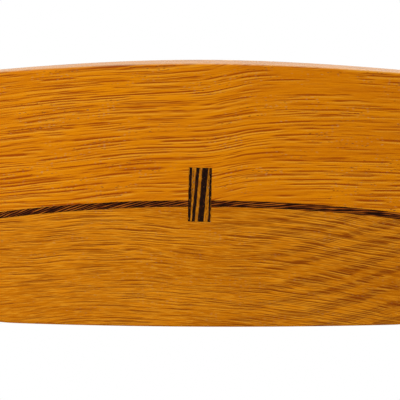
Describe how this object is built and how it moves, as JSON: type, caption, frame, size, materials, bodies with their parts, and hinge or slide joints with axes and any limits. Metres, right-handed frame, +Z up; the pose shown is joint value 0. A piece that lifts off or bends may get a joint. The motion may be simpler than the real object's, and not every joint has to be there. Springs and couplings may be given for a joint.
{
  "type": "armchair",
  "caption": "Dining armchair with a curved oak arm and back rail, inlaid dark joint in the back, tubular steel frame and thin leather seat.",
  "frame": {"origin": "on the floor, at the middle of the bounding box seen from above", "axes": "+Z up; the chair faces -Y, so the back is at +Y; +X is the sitter's left"},
  "size_m": [0.63, 0.48, 0.7],
  "materials": {
    "oak": "oiled honey-coloured oak, satin",
    "dark_wood": "oiled dark striped hardwood, satin",
    "dowel_wood": "raw beech dowel",
    "steel_tube": "fine brushed stainless steel",
    "turned_steel": "turned bright steel",
    "zinc_steel": "zinc plated steel",
    "glide_rubber": "moulded black rubber, matte",
    "plywood": "raw birch plywood",
    "foam": "open-cell seat foam, matte",
    "leather": "semi-aniline black-brown leather, fine grain",
    "dust_cloth": "spun-bonded black lining cloth"
  },
  "bodies": {
    "root": {"upper_back": "oak", "lower_back": "oak", "joint_strip_left": "dark_wood", "joint_strip_right": "dark_wood", "centre_key": "dark_wood", "left_arm": "oak", "right_arm": "oak", "arm_dowels_left": "dowel_wood", "arm_dowels_right": "dowel_wood", "leg_front_left": "steel_tube", "leg_front_right": "steel_tube", "leg_rear_left": "steel_tube", "leg_rear_right": "steel_tube", "leg_pin_front_left": "turned_steel", "leg_pin_front_right": "turned_steel", "leg_pin_rear_left": "turned_steel", "leg_pin_rear_right": "turned_steel", "glide_front_left": "glide_rubber", "glide_front_right": "glide_rubber", "glide_rear_left": "glide_rubber", "glide_rear_right": "glide_rubber", "front_bow": "steel_tube", "rear_bow": "steel_tube", "bow_plate": "steel_tube", "seat_lug_front_left": "steel_tube", "seat_lug_front_right": "steel_tube", "seat_lug_rear_left": "steel_tube", "seat_lug_rear_right": "steel_tube", "seat_pads": "glide_rubber", "seat_washers": "zinc_steel", "seat_screws": "zinc_steel", "seat_nuts": "zinc_steel", "seat_base": "plywood", "seat_foam": "foam", "seat_cover": "leather", "cover_staples": "zinc_steel", "dust_cloth": "dust_cloth"}
  },
  "joints": []
}
